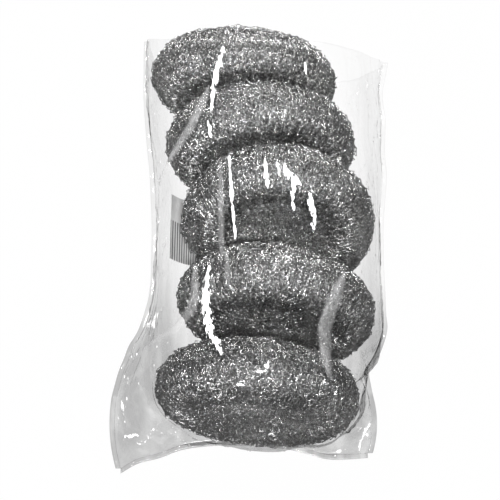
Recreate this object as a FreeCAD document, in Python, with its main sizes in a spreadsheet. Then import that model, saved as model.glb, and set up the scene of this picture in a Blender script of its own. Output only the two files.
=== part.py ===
import FreeCAD, Part
import math
import os
import re
import Sketcher
from FreeCAD import Placement, Rotation, Vector

# A clear polybag that holds a row of five knitted wire pot scourers.
# Millimetres, +Z up. The row runs along Y, with the mouth of the bag at +Y and its welded end at -Y.
# The pack lies on the plane z = 0, and the middle of its outline stands over the origin.

SCOURERS = (1, 2, 3, 4, 5)

SIZES = {
    # One scourer: a knitted sleeve rolled up into a ring
    "roll_radius": 31,
    "rim_radius": 14.5,
    "turn_thickness": 1.5,
    "layer_gap": 0.3,
    "tuck_height": 10.2,
    "tuck_eye": 4,
    # Its rows of stitches, which stand out as soft ridges
    "row_height": 0.8,
    "rows_round": 12,
    "rows_tucked": 3,
    # The row: where each scourer stands across the bag, how it leans and how it is turned
    "scourer_1_across": -3.2,
    "scourer_2_across": 5,
    "scourer_3_across": 13.1,
    "scourer_4_across": 11.8,
    "scourer_5_across": 3.3,
    "scourer_1_lean_angle": 100,
    "scourer_2_lean_angle": 88,
    "scourer_3_lean_angle": 71,
    "scourer_4_lean_angle": 87,
    "scourer_5_lean_angle": 91,
    "scourer_1_turn_angle": -3.6,
    "scourer_2_turn_angle": 0.1,
    "scourer_3_turn_angle": -2.9,
    "scourer_4_turn_angle": -7.7,
    "scourer_5_turn_angle": -5.1,
    "air_1": 1.2,
    "air_2": 0.4,
    "air_3": 4.8,
    "air_4": 9.9,
    # The film of the bag and the room that it leaves
    "film_thickness": 0.4,
    "film_gap": 0.1,
    "scourer_clearance": 0.4,
    "crown_flat": 4,
    "corner_radius": 25,
    "end_inset": 7,
    "end_drop": 10.5,
    "end_slope": 10,
    # The mouth
    "mouth_reach": 27,
    "mouth_slant": 15,
    "scoop_reach": 1,
    "scoop_rise": 4,
    # The side fins, from the wall of the bag to its edge
    "fin_height": 40,
    "left_fin_mouth": 4,
    "left_fin_neck": 3,
    "left_fin_back": 4,
    "left_fin_waist": 3,
    "left_fin_hip": 9.5,
    "left_fin_foot": 22.5,
    "right_fin_mouth": 10,
    "right_fin_neck": 8,
    "right_fin_back": 6.5,
    "right_fin_waist": 3,
    "right_fin_hip": 3,
    "right_fin_foot": 7,
    # The welded end
    "weld_width": 2.5,
    "left_ear_reach": 14,
    "right_ear_reach": 9,
    "flap_reach": 5,
    "flap_half_width": 30,
    # The label on the back film
    "label_length": 35,
    "label_width": 21,
    "label_rise": 4.5,
    "label_thickness": 0.2,
    "label_gap": 0.05,
}

# Room by which a cutting outline runs past what it cuts
CUT_MARGIN = 20

doc = FreeCAD.newDocument("scourer_pack")


def make_sheet():
    """Write the driving dimensions to the sheet, one named cell each."""
    sheet = doc.addObject("Spreadsheet::Sheet", "Sizes")
    for row, (name, number) in enumerate(SIZES.items(), start=1):
        sheet.set(f"A{row}", name)
        sheet.set(f"B{row}", str(number))
        sheet.setAlias(f"B{row}", name)
    doc.recompute()
    return sheet


sheet = make_sheet()


def tied(words):
    """Turn a formula in the names of the sizes into an expression on the sheet."""
    return re.sub(r"[a-z]+(?:_[a-z0-9]+)+", lambda name: "Sizes." + name.group(0), words)


def number(words):
    """Work out a formula in the names of the sizes."""
    return float(sheet.evalExpression(tied(words)))


# The row, as formulas in the names of the sizes

SCOURER_RADIUS = "(roll_radius + rim_radius)"
TUNNEL_RADIUS = f"({SCOURER_RADIUS} + scourer_clearance)"


def pitch(k):
    """Distance along the row from scourer k + 1 to scourer k: they lean and turn apart, with some air."""
    lean = f"sin(scourer_{k}_lean_angle - scourer_{k + 1}_lean_angle)"
    turn = f"sin(scourer_{k}_turn_angle - scourer_{k + 1}_turn_angle)"
    spread = f"roll_radius * sqrt({lean}^2 + {turn}^2)"
    slope = f"sin((scourer_{k}_lean_angle + scourer_{k + 1}_lean_angle) / 2)"
    return f"((2 * rim_radius + {spread}) / {slope} + air_{k})"


def along(k):
    """Place of scourer k along the row, counted from the last one."""
    steps = [pitch(step) for step in range(k, SCOURERS[-1])]
    return "(" + " + ".join(["0"] + steps) + ")"


def reach(k):
    """How far scourer k reaches along the row from its middle."""
    lean = f"cos(scourer_{k}_lean_angle)"
    turn = f"sin(scourer_{k}_turn_angle)"
    return f"(rim_radius + roll_radius * sqrt({lean}^2 + {turn}^2) + scourer_clearance)"


# The stations of the bag along the row, from the mouth to the welded end

MOUTH = f"({along(1)} + mouth_reach)"
NECK = f"({along(1)} - {reach(1)})"
BACK = f"({along(2)} - rim_radius / 2)"
WAIST = f"(({along(3)} + {along(4)}) / 2 - rim_radius / 4)"
HIP = f"({along(4)} - {reach(4)})"
FOOT = f"({along(5)} - {reach(5)} + end_slope)"
END = f"({along(5)} - {reach(5)} - film_thickness)"
FLAP_END = f"({FOOT} - left_ear_reach)"

LEAST_NECK = "min(scourer_1_across; scourer_2_across; scourer_3_across; scourer_4_across; scourer_5_across)"
LEAST_BACK = "min(scourer_2_across; scourer_3_across; scourer_4_across; scourer_5_across)"
MOST_BACK = "max(scourer_1_across; scourer_2_across; scourer_3_across; scourer_4_across; scourer_5_across)"
LAST = "scourer_5_across"

# Each station: its name, its place, and the leftmost and rightmost scourer that passes it
TUNNEL = (
    ("mouth", MOUTH, LEAST_NECK, MOST_BACK),
    ("neck", NECK, LEAST_NECK, MOST_BACK),
    ("back", BACK, LEAST_BACK, MOST_BACK),
    ("hip", HIP, LEAST_BACK, MOST_BACK),
    ("foot", FOOT, LAST, LAST),
)

# Each station of the side fins: its name, its place, and the scourers that set the walls there
FINS = TUNNEL[:3] + (("waist", WAIST, LEAST_BACK, MOST_BACK),) + TUNNEL[3:]

TOP = f"(film_thickness + 2 * {TUNNEL_RADIUS})"
FLOOR_PARTING = "(film_thickness + film_gap / 2)"


def left_edge(station):
    """Left edge of the bag at a station of its fins."""
    name, _, least, _ = station
    return f"({least} - {TUNNEL_RADIUS} - film_thickness - left_fin_{name})"


def right_edge(station):
    """Right edge of the bag at a station of its fins."""
    name, _, _, most = station
    return f"({most} + {TUNNEL_RADIUS} + film_thickness + right_fin_{name})"


MIDDLE_ACROSS = f"({left_edge(FINS[-1])} + {right_edge(FINS[0])}) / 2"
MIDDLE_ALONG = f"({MOUTH} + {FLAP_END}) / 2"
PACK_PLACE = Vector(-number(MIDDLE_ACROSS), -number(MIDDLE_ALONG), 0)


# Sketches

def new_body(label, placement):
    """A body for one sub-part."""
    body = doc.addObject("PartDesign::Body", label)
    body.Label = label
    body.Placement = placement
    return body


def new_sketch(body, name, plane, offset=None):
    """A sketch on one of the body's own planes, at an offset along the plane's normal."""
    sketch = body.newObject("Sketcher::SketchObject", name)
    support = [item for item in body.Origin.OriginFeatures if item.Role == plane]
    sketch.AttachmentSupport = [(support[0], "")]
    sketch.MapMode = "FlatFace"
    if offset:
        sketch.setExpression("AttachmentOffset.Base.z", tied(offset))
    return sketch


def bind(sketch, kind, words, *where):
    """Add one dimension to a sketch and tie it to a formula."""
    index = sketch.addConstraint(Sketcher.Constraint(kind, *where, number(words)))
    sketch.setExpression(f"Constraints[{index}]", tied(words))


def place_point(sketch, geometry, end, first, second):
    """Tie one end of a line or arc, or its centre, to its two coordinates."""
    bind(sketch, "DistanceX", first, -1, 1, geometry, end)
    bind(sketch, "DistanceY", second, -1, 1, geometry, end)


def polygon(sketch, corners):
    """A closed outline of straight lines, each corner tied to two formulas."""
    points = [Vector(number(first), number(second), 0) for first, second in corners]
    lines = [Part.LineSegment(a, b) for a, b in zip(points, points[1:] + points[:1])]
    indices = sketch.addGeometry(lines)
    for line, following in zip(indices, indices[1:] + indices[:1]):
        sketch.addConstraint(Sketcher.Constraint("Coincident", line, 2, following, 1))
    for line, (first, second) in zip(indices, corners):
        place_point(sketch, line, 1, first, second)


def arc(centre, radius, start, finish):
    """An arc of a circle between two angles in degrees."""
    circle = Part.Circle(centre, Vector(0, 0, 1), radius)
    return Part.ArcOfCircle(circle, math.radians(start), math.radians(finish))


def rounded_section(body, name, place, left, right, low, high, upper, lower):
    """A section across the bag: a box with round upper and lower corners."""
    sketch = new_sketch(body, name, "XZ_Plane", f"-{place}")
    x0, x1, z0, z1 = (number(words) for words in (left, right, low, high))
    big = number(upper)
    small = number(lower)
    sketch.addGeometry([
        Part.LineSegment(Vector(x0 + small, z0, 0), Vector(x1 - small, z0, 0)),
        arc(Vector(x1 - small, z0 + small, 0), small, 270, 360),
        Part.LineSegment(Vector(x1, z0 + small, 0), Vector(x1, z1 - big, 0)),
        arc(Vector(x1 - big, z1 - big, 0), big, 0, 90),
        Part.LineSegment(Vector(x1 - big, z1, 0), Vector(x0 + big, z1, 0)),
        arc(Vector(x0 + big, z1 - big, 0), big, 90, 180),
        Part.LineSegment(Vector(x0, z1 - big, 0), Vector(x0, z0 + small, 0)),
        arc(Vector(x0 + small, z0 + small, 0), small, 180, 270),
    ])
    edges = range(8)
    for edge in edges:
        sketch.addConstraint(Sketcher.Constraint("Tangent", edge, 2, (edge + 1) % len(edges), 1))
    for edge, kind in ((0, "Horizontal"), (2, "Vertical"), (4, "Horizontal"), (6, "Vertical")):
        sketch.addConstraint(Sketcher.Constraint(kind, edge))
    for edge, radius in ((1, lower), (3, upper), (5, upper), (7, lower)):
        bind(sketch, "Radius", radius, edge)
    bind(sketch, "DistanceY", low, -1, 1, 0, 1)
    bind(sketch, "DistanceX", right, -1, 1, 2, 1)
    bind(sketch, "DistanceY", high, -1, 1, 4, 1)
    bind(sketch, "DistanceX", left, -1, 1, 6, 1)
    return sketch


def arch_section(body, name, place, edges, middles, low, radius):
    """A section across the front film: straight up from the edges and over the row."""
    sketch = new_sketch(body, name, "XZ_Plane", f"-{place}")
    left, right, level = edges
    first, second, height = middles
    x0, x1, z1, c0, c1, cz, z0, big = (
        number(words) for words in (left, right, level, first, second, height, low, radius))
    way0 = math.degrees(math.atan2(z1 - cz, x0 - c0)) % 360
    way1 = math.degrees(math.atan2(z1 - cz, x1 - c1))
    spread0 = math.degrees(math.acos(big / math.hypot(x0 - c0, z1 - cz)))
    spread1 = math.degrees(math.acos(big / math.hypot(x1 - c1, z1 - cz)))
    arc0 = arc(Vector(c0, cz, 0), big, 90, way0 - spread0)
    arc1 = arc(Vector(c1, cz, 0), big, way1 + spread1, 90)
    sketch.addGeometry([
        Part.LineSegment(Vector(x0, z0, 0), Vector(x0, z1, 0)),
        Part.LineSegment(Vector(x0, z1, 0), arc0.EndPoint),
        arc0,
        Part.LineSegment(arc0.StartPoint, arc1.EndPoint),
        arc1,
        Part.LineSegment(arc1.StartPoint, Vector(x1, z1, 0)),
        Part.LineSegment(Vector(x1, z1, 0), Vector(x1, z0, 0)),
        Part.LineSegment(Vector(x1, z0, 0), Vector(x0, z0, 0)),
    ])
    for joint in ((0, 2, 1, 1), (5, 2, 6, 1), (6, 2, 7, 1), (7, 2, 0, 1)):
        sketch.addConstraint(Sketcher.Constraint("Coincident", *joint))
    for joint in ((1, 2, 2, 2), (2, 1, 3, 1), (3, 2, 4, 2), (4, 1, 5, 1)):
        sketch.addConstraint(Sketcher.Constraint("Tangent", *joint))
    for edge, kind in ((0, "Vertical"), (6, "Vertical"), (7, "Horizontal")):
        sketch.addConstraint(Sketcher.Constraint(kind, edge))
    place_point(sketch, 1, 1, left, level)
    place_point(sketch, 6, 1, right, level)
    bind(sketch, "DistanceY", low, -1, 1, 0, 1)
    for edge, middle in ((2, first), (4, second)):
        place_point(sketch, edge, 3, middle, height)
        bind(sketch, "Radius", radius, edge)
    return sketch


# Features

def revolve(body, sketch):
    """Turn a profile all the way round the body's upright axis."""
    feature = body.newObject("PartDesign::Revolution", "turned")
    feature.Profile = sketch
    feature.ReferenceAxis = (sketch, ["V_Axis"])
    feature.Angle = 360


def loft(body, kind, sections):
    """A straight-sided loft through the sections."""
    feature = body.newObject(f"PartDesign::{kind}", kind)
    feature.Profile = sections[0]
    feature.Sections = sections[1:]
    feature.Ruled = True


def pad_both_ways(body, sketch, length):
    """Thicken a profile evenly to both sides of its plane."""
    feature = body.newObject("PartDesign::Pad", "pad")
    feature.Profile = sketch
    feature.SideType = "Symmetric"
    feature.setExpression("Length", tied(length))


def cut_both_ways(body, sketch, length):
    """Cut a profile away, evenly to both sides of its plane."""
    feature = body.newObject("PartDesign::Pocket", "cut")
    feature.Profile = sketch
    feature.SideType = "Symmetric"
    feature.setExpression("Length", tied(length))


# The scourers

def scourer_place(k):
    """Where scourer k stands: on the back film, leaning along the row and turned about the upright."""
    lean = Rotation(Vector(1, 0, 0), number(f"scourer_{k}_lean_angle"))
    turn = Rotation(Vector(0, 0, 1), number(f"scourer_{k}_turn_angle"))
    height = f"film_thickness + scourer_clearance + rim_radius + roll_radius * sin(scourer_{k}_lean_angle)"
    place = Vector(number(f"scourer_{k}_across"), number(along(k)), number(height))
    return Placement(PACK_PLACE + place, turn * lean)


def ridge(first, second, radius, facing):
    """An arc over the way between two points, bulging towards an angle in degrees."""
    half = first.distanceToPoint(second) / 2
    spread = math.degrees(math.asin(half / radius))
    back = math.sqrt(radius ** 2 - half ** 2)
    outward = Vector(math.cos(math.radians(facing)), math.sin(math.radians(facing)), 0)
    return arc((first + second) / 2 - outward * back, radius, facing - spread, facing + spread)


def add_ring(sketch, circle, radius):
    """A circle about the middle of the rolled edge."""
    sketch.addGeometry(Part.Circle(Vector(number("roll_radius"), 0, 0), Vector(0, 0, 1), number(radius)))
    sketch.addConstraint(Sketcher.Constraint("PointOnObject", circle, 3, -1))
    bind(sketch, "DistanceX", "roll_radius", -1, 1, circle, 3)
    bind(sketch, "Radius", radius, circle)


ROW_ANGLE = "(360 / rows_round)"
ROW_FOOT = "(rim_radius - row_height)"
ROW_HALF = f"({ROW_FOOT} * sin({ROW_ANGLE} / 2))"
ROW_RISE = f"(rim_radius - {ROW_FOOT} * cos({ROW_ANGLE} / 2))"
ROW_RADIUS = f"(({ROW_HALF}^2 + {ROW_RISE}^2) / (2 * {ROW_RISE}))"


def make_outer_turn(k):
    """The last turn of the rolled sleeve: a hollow ring with a ridge for each row of stitches."""
    body = new_body(f"scourer_{k}_outer_turn", scourer_place(k))
    sketch = new_sketch(body, "profile", "XZ_Plane")
    count = SIZES["rows_round"]
    feet = [
        (f"roll_radius + {ROW_FOOT} * cos({ROW_ANGLE} * {row})", f"{ROW_FOOT} * sin({ROW_ANGLE} * {row})")
        for row in range(count)
    ]
    points = [Vector(number(first), number(second), 0) for first, second in feet]
    for row in range(count):
        middle = number(f"{ROW_ANGLE} * {row + 0.5}")
        sketch.addGeometry(ridge(points[row], points[(row + 1) % count], number(ROW_RADIUS), middle))
    for row, (first, second) in enumerate(feet):
        sketch.addConstraint(Sketcher.Constraint("Coincident", row, 2, (row + 1) % count, 1))
        place_point(sketch, row, 1, first, second)
        bind(sketch, "Radius", ROW_RADIUS, row)
    add_ring(sketch, count, "rim_radius - turn_thickness")
    revolve(body, sketch)
    return body


def make_inner_roll(k):
    """The earlier turns of the sleeve, wound tight inside the last one."""
    body = new_body(f"scourer_{k}_inner_roll", scourer_place(k))
    sketch = new_sketch(body, "profile", "XZ_Plane")
    add_ring(sketch, 0, "rim_radius - turn_thickness - layer_gap")
    revolve(body, sketch)
    return body


TUCK_SIDE = "(rim_radius + layer_gap)"
TUCK_REACH = f"(roll_radius - sqrt({TUCK_SIDE}^2 - tuck_height^2))"
TUCK_STEP = f"(({TUCK_REACH} - tuck_eye) / rows_tucked)"
TUCK_RADIUS = f"(({TUCK_STEP}^2 / 4 + row_height^2) / (2 * row_height))"


def make_tucked_end(k):
    """The gathered end of the sleeve: a spool in the eye of the ring, lower than its rim."""
    body = new_body(f"scourer_{k}_tucked_end", scourer_place(k))
    sketch = new_sketch(body, "profile", "XZ_Plane")
    count = SIZES["rows_tucked"]
    height = number("tuck_height")
    radius = number(TUCK_RADIUS)
    steps = [number(f"tuck_eye + {TUCK_STEP} * {row}") for row in range(count + 1)]
    rows = list(zip(steps, steps[1:]))
    flank = number(f"asin(tuck_height / {TUCK_SIDE})")
    wall = arc(Vector(number("roll_radius"), 0, 0), number(TUCK_SIDE), 180 - flank, 180 + flank)
    under = [ridge(Vector(a, -height, 0), Vector(b, -height, 0), radius, 270) for a, b in rows]
    over = [ridge(Vector(a, height, 0), Vector(b, height, 0), radius, 90) for a, b in rows]
    sketch.addGeometry(
        [Part.LineSegment(Vector(0, height, 0), Vector(0, -height, 0)),
         Part.LineSegment(Vector(0, -height, 0), Vector(steps[0], -height, 0))]
        + under + [wall] + over[::-1]
        + [Part.LineSegment(Vector(steps[0], height, 0), Vector(0, height, 0))])
    side = count + 2
    last = 2 * count + 3
    joints = [(edge, 2, edge + 1, 1) for edge in range(side - 1)]
    joints += [(side - 1, 2, side, 2), (side, 1, side + 1, 1)]
    joints += [(edge, 2, (edge + 1) % (last + 1), 1) for edge in range(side + 1, last + 1)]
    for joint in joints:
        sketch.addConstraint(Sketcher.Constraint("Coincident", *joint))
    for point in (1, 2):
        sketch.addConstraint(Sketcher.Constraint("PointOnObject", 0, point, -2))
    sketch.addConstraint(Sketcher.Constraint("PointOnObject", side, 3, -1))
    bind(sketch, "DistanceX", "roll_radius", -1, 1, side, 3)
    bind(sketch, "Radius", TUCK_SIDE, side)
    for edge, point, level in ((0, 1, "tuck_height"), (0, 2, "-tuck_height"),
                               (side, 1, "tuck_height"), (side, 2, "-tuck_height")):
        bind(sketch, "DistanceY", level, -1, 1, edge, point)
    for row in range(count):
        place_point(sketch, row + 2, 1, f"tuck_eye + {TUCK_STEP} * {row}", "-tuck_height")
        place_point(sketch, last - row, 1, f"tuck_eye + {TUCK_STEP} * {row}", "tuck_height")
    for edge in list(range(2, side)) + list(range(side + 1, last)):
        bind(sketch, "Radius", TUCK_RADIUS, edge)
    revolve(body, sketch)
    return body


# The bag

BAG_PLACE = Placement(PACK_PLACE, Rotation())
WIDE = f"(8 * {SCOURER_RADIUS})"


def tunnel(body, kind, wall):
    """The hull of the bag round the row, at a distance outside the film's inner face."""
    sections = []
    for name, place, least, most in TUNNEL:
        sections.append(rounded_section(
            body, f"{name}_{kind}", place,
            f"{least} - {TUNNEL_RADIUS} - {wall}", f"{most} + {TUNNEL_RADIUS} + {wall}",
            f"film_thickness - {wall}", f"{TOP} + {wall}",
            f"{TUNNEL_RADIUS} - crown_flat / 2 + {wall}", f"corner_radius + {wall}"))
    sections.append(rounded_section(
        body, f"end_{kind}", f"({END} + film_thickness - {wall})",
        f"{LAST} - {TUNNEL_RADIUS} - {wall} + end_inset", f"{LAST} + {TUNNEL_RADIUS} + {wall} - end_inset",
        f"film_thickness - {wall} + end_inset", f"{TOP} + {wall} - end_drop",
        f"{TUNNEL_RADIUS} - crown_flat / 2 + {wall} - end_inset", f"corner_radius + {wall} - end_inset"))
    loft(body, kind, sections)


CROWN_RADIUS = f"({TUNNEL_RADIUS} - crown_flat / 2)"
FIN_LEVELS = ["fin_height"] * 5 + [FLOOR_PARTING]


def arch(body, kind, wall):
    """The front film's own hull: over the row and straight down to the welds."""
    sections = []
    low = f"-{CUT_MARGIN}"
    for station, level in zip(FINS, FIN_LEVELS):
        name, place, least, most = station
        sections.append(arch_section(
            body, f"{name}_{kind}", place,
            (f"{left_edge(station)} + weld_width - {wall}", f"{right_edge(station)} - weld_width + {wall}",
             f"{level} + film_gap / 2"),
            (f"{least} - crown_flat / 2", f"{most} + crown_flat / 2", f"{TOP} - {CROWN_RADIUS}"),
            low, f"{CROWN_RADIUS} + {wall}"))
    side = f"({TUNNEL_RADIUS} + {wall} - end_inset)"
    height = f"{TOP} - end_drop - {CROWN_RADIUS} + end_inset"
    sections.append(arch_section(
        body, f"end_{kind}", f"({END} + film_thickness - {wall})",
        (f"{LAST} - {side}", f"{LAST} + {side}", f"{FLOOR_PARTING} + film_gap / 2"),
        (f"{LAST} - crown_flat / 2", f"{LAST} + crown_flat / 2", height),
        low, f"{CROWN_RADIUS} + {wall} - end_inset"))
    loft(body, kind, sections)


def parting(rise):
    """The line where the two webs meet, seen from the side: along the fins and down to the flap."""
    return [
        (MOUTH, f"fin_height + {rise}"),
        (HIP, f"fin_height + {rise}"),
        (FOOT, f"{FLOOR_PARTING} + {rise}"),
        (FLAP_END, f"{FLOOR_PARTING} + {rise}"),
    ]


def fin_band(body, low, high, stations):
    """A band of film along the last few stations of the parting line, right across the bag."""
    sketch = new_sketch(body, "fin_band", "YZ_Plane")
    polygon(sketch, parting(low)[-stations:] + parting(high)[-stations:][::-1])
    pad_both_ways(body, sketch, WIDE)


ALL_STATIONS = 4
FLAP_STATIONS = 2


def trim_side(body, edges, name, far):
    """Cut away what lies past a line of edges, out to a far line across the bag."""
    sketch = new_sketch(body, name, "XY_Plane")
    line = [(edge, station[1]) for edge, station in zip(edges, FINS)]
    past_mouth = f"{MOUTH} + {CUT_MARGIN}"
    past_flap = f"{FLAP_END} - {CUT_MARGIN}"
    outline = [(edges[0], past_mouth)] + line + [(edges[-1], past_flap)]
    polygon(sketch, outline + [(far, past_flap), (far, past_mouth)])
    cut_both_ways(body, sketch, f"4 * {TOP}")


def trim_to_welds(body):
    """Cut away what lies past the inner edges of the side welds."""
    left = [f"{left_edge(station)} + weld_width" for station in FINS]
    right = [f"{right_edge(station)} - weld_width" for station in FINS]
    trim_side(body, left, "left_edge", f"-{WIDE} / 2")
    trim_side(body, right, "right_edge", f"{WIDE} / 2")


def trim_mouth(body):
    """Cut the mouth on a slant, its left corner further out than its right one."""
    sketch = new_sketch(body, "mouth_slant", "XY_Plane")
    left = left_edge(FINS[0])
    right = right_edge(FINS[0])
    past = f"{MOUTH} + {CUT_MARGIN}"
    polygon(sketch, [
        (left, MOUTH), (right, f"{MOUTH} - mouth_slant"),
        (f"{right} + {CUT_MARGIN}", f"{MOUTH} - mouth_slant"), (f"{right} + {CUT_MARGIN}", past),
        (f"{left} - {CUT_MARGIN}", past), (f"{left} - {CUT_MARGIN}", MOUTH),
    ])
    cut_both_ways(body, sketch, f"4 * {TOP}")


def flap_edge(inset):
    """Lower edge of the flap from its left ear to its right one, seen from above."""
    return [
        (left_edge(FINS[-1]), f"{FOOT} - left_ear_reach + {inset}"),
        (f"{LAST} - flap_half_width", f"{FOOT} - flap_reach + {inset}"),
        (f"{LAST} + flap_half_width", f"{FOOT} - flap_reach + {inset}"),
        (right_edge(FINS[-1]), f"{FOOT} - right_ear_reach + {inset}"),
    ]


def trim_flap(body, inset):
    """Cut the flap to its lower edge, below the rounded end of the bag."""
    sketch = new_sketch(body, "flap_edge", "XY_Plane")
    edge = flap_edge(inset)
    past = f"{FLAP_END} - {CUT_MARGIN}"
    start = f"{left_edge(FINS[-1])} - {CUT_MARGIN}"
    finish = f"{right_edge(FINS[-1])} + {CUT_MARGIN}"
    polygon(sketch, [(start, edge[0][1])] + edge + [(finish, edge[-1][1]), (finish, past), (start, past)])
    cut_both_ways(body, sketch, "6 * film_thickness")


def make_film(label, low, high, keep_upper):
    """One web of the bag: its hull round the row, its fins and its flap."""
    body = new_body(label, BAG_PLACE)
    hull = arch if keep_upper else tunnel
    hull(body, "AdditiveLoft", "film_thickness")
    fin_band(body, low, high, FLAP_STATIONS if keep_upper else ALL_STATIONS)
    hull(body, "SubtractiveLoft", "0")
    face = low if keep_upper else high
    far = f"-2 * {CUT_MARGIN}" if keep_upper else f"{TOP} + {CUT_MARGIN}"
    line = parting(face)
    line[0] = (f"{MOUTH} + {CUT_MARGIN}", line[0][1])
    line[-1] = (f"{END} - {CUT_MARGIN}", line[-1][1])
    sketch = new_sketch(body, "parting", "YZ_Plane")
    polygon(sketch, line + [(line[-1][0], far), (line[0][0], far)])
    cut_both_ways(body, sketch, WIDE)
    trim_to_welds(body)
    trim_flap(body, "weld_width")
    trim_mouth(body)
    return body


def make_front_film():
    """The upper web, scooped out at the mouth over the first scourer."""
    body = make_film("bag_front_film", "film_gap / 2", "film_gap / 2 + film_thickness", True)
    sketch = new_sketch(body, "mouth_scoop", "YZ_Plane")
    past = f"{MOUTH} + {CUT_MARGIN}"
    above = f"{TOP} + {CUT_MARGIN}"
    foot = "fin_height + scoop_rise"
    polygon(sketch, [
        (f"{along(1)} + scoop_reach", f"{TOP} + film_thickness"), (f"{along(1)} + scoop_reach", above),
        (past, above), (past, foot), (f"{MOUTH} - mouth_slant", foot),
    ])
    cut_both_ways(body, sketch, WIDE)
    return body


def make_back_film():
    """The lower web, flat where the pack lies on it."""
    return make_film("bag_back_film", "-film_gap / 2 - film_thickness", "-film_gap / 2", False)


def make_side_weld(label, outer, inner, outer_far, inner_far):
    """A side seal: both webs melted into one strip along the edge of the fins."""
    body = new_body(label, BAG_PLACE)
    fin_band(body, "-film_gap / 2 - film_thickness", "film_gap / 2 + film_thickness", ALL_STATIONS)
    trim_side(body, outer, "outer_edge", outer_far)
    trim_side(body, inner, "inner_edge", inner_far)
    trim_flap(body, "0")
    trim_mouth(body)
    return body


def make_left_weld():
    """The seal along the left edge."""
    outer = [left_edge(station) for station in FINS]
    inner = [f"{edge} + weld_width" for edge in outer]
    return make_side_weld("bag_left_weld", outer, inner, f"-{WIDE} / 2", f"{WIDE} / 2")


def make_right_weld():
    """The seal along the right edge."""
    outer = [right_edge(station) for station in FINS]
    inner = [f"{edge} - weld_width" for edge in outer]
    return make_side_weld("bag_right_weld", outer, inner, f"{WIDE} / 2", f"-{WIDE} / 2")


def make_bottom_weld():
    """The seal across the closed end, along the lower edge of the flap."""
    body = new_body("bag_bottom_weld", BAG_PLACE)
    sketch = new_sketch(body, "seal", "XY_Plane")
    polygon(sketch, flap_edge("0") + flap_edge("weld_width")[::-1])
    feature = body.newObject("PartDesign::Pad", "pad")
    feature.Profile = sketch
    feature.setExpression("Length", tied("2 * film_thickness + film_gap"))
    trim_to_welds(body)
    return body


def make_label():
    """The paper label, bent round the lower left corner of the back film."""
    body = new_body("back_label", BAG_PLACE)
    sketch = new_sketch(body, "strip", "XZ_Plane", f"-({BACK} - label_length)")
    across = f"({LEAST_BACK} - {TUNNEL_RADIUS} + corner_radius)"
    height = "(film_thickness + corner_radius)"
    inside = "(corner_radius + film_thickness + label_gap)"
    outside = f"({inside} + label_thickness)"
    centre = Vector(number(across), number(height), 0)
    low = f"(270 - label_rise / {inside} * 180 / pi)"
    top = f"({low} - label_width / {inside} * 180 / pi)"
    inner = arc(centre, number(inside), number(top), number(low))
    outer = arc(centre, number(outside), number(top), number(low))
    sketch.addGeometry([
        inner, Part.LineSegment(inner.EndPoint, outer.EndPoint),
        outer, Part.LineSegment(outer.StartPoint, inner.StartPoint),
    ])
    for joint in ((0, 2, 1, 1), (1, 2, 2, 2), (2, 1, 3, 1), (3, 2, 0, 1)):
        sketch.addConstraint(Sketcher.Constraint("Coincident", *joint))
    for geometry, radius in ((0, inside), (2, outside)):
        place_point(sketch, geometry, 3, across, height)
        bind(sketch, "Radius", radius, geometry)
        bind(sketch, "DistanceY", f"{height} + {radius} * sin({top})", -1, 1, geometry, 1)
        bind(sketch, "DistanceY", f"{height} + {radius} * sin({low})", -1, 1, geometry, 2)
    feature = body.newObject("PartDesign::Pad", "pad")
    feature.Profile = sketch
    feature.Reversed = True
    feature.setExpression("Length", tied("label_length"))
    return body


def check(bodies):
    """Stop if any object failed or any sub-part isn't one sound solid."""
    for item in doc.Objects:
        if {"Invalid", "Error"} & set(item.State):
            raise RuntimeError(f"{item.Label} failed: {item.State}")
    for body in bodies:
        if body.Shape.isNull() or not body.Shape.isValid():
            raise RuntimeError(f"{body.Label} has no sound shape")
        if len(body.Shape.Solids) != 1:
            raise RuntimeError(f"{body.Label} has {len(body.Shape.Solids)} solids")


def main():
    """Build every sub-part, check it and write it to its own file."""
    bodies = []
    for k in SCOURERS:
        bodies += [make_outer_turn(k), make_inner_roll(k), make_tucked_end(k)]
    bodies += [make_front_film(), make_back_film(), make_left_weld(), make_right_weld()]
    bodies += [make_bottom_weld(), make_label()]
    doc.recompute()
    check(bodies)
    os.makedirs("parts", exist_ok=True)
    for body in bodies:
        body.Shape.exportStep(f"parts/{body.Label}.step")
        box = body.Shape.BoundBox
        print(f"{body.Label}: {body.Shape.Volume:.1f} mm3, y {box.YMin:.1f} to {box.YMax:.1f}")


main()
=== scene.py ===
"""A clear polybag lying on a table, with a row of knitted wire scourers inside it."""
import logging
import math
from collections.abc import Callable
from dataclasses import astuple, dataclass, field, fields
from enum import Enum

import bmesh
import bpy
import numpy as np
from bpy.types import ID, Material, Mesh, Node, NodeSocket, NodeTree, Object
from mathutils import Matrix, Vector


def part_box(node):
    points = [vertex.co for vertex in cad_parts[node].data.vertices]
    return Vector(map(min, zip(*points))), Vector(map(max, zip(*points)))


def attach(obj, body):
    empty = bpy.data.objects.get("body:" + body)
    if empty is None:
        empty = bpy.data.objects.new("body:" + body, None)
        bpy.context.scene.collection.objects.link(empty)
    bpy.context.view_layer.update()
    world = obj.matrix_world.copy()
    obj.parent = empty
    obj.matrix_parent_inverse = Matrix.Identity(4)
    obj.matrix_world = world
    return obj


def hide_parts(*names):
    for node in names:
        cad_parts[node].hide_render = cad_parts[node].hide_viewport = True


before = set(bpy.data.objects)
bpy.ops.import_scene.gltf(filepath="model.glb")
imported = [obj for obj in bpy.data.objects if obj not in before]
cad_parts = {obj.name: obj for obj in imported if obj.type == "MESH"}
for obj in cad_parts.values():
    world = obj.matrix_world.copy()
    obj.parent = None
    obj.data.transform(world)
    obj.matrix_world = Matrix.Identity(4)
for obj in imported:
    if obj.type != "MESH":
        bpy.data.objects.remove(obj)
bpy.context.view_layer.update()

MM = 0.001
FULL_TURN = 2 * math.pi
ROWS_ROUND = 12.0  # Ridges round the whole of a ring's section
DISH_REACH = 15.0  # In mm
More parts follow.
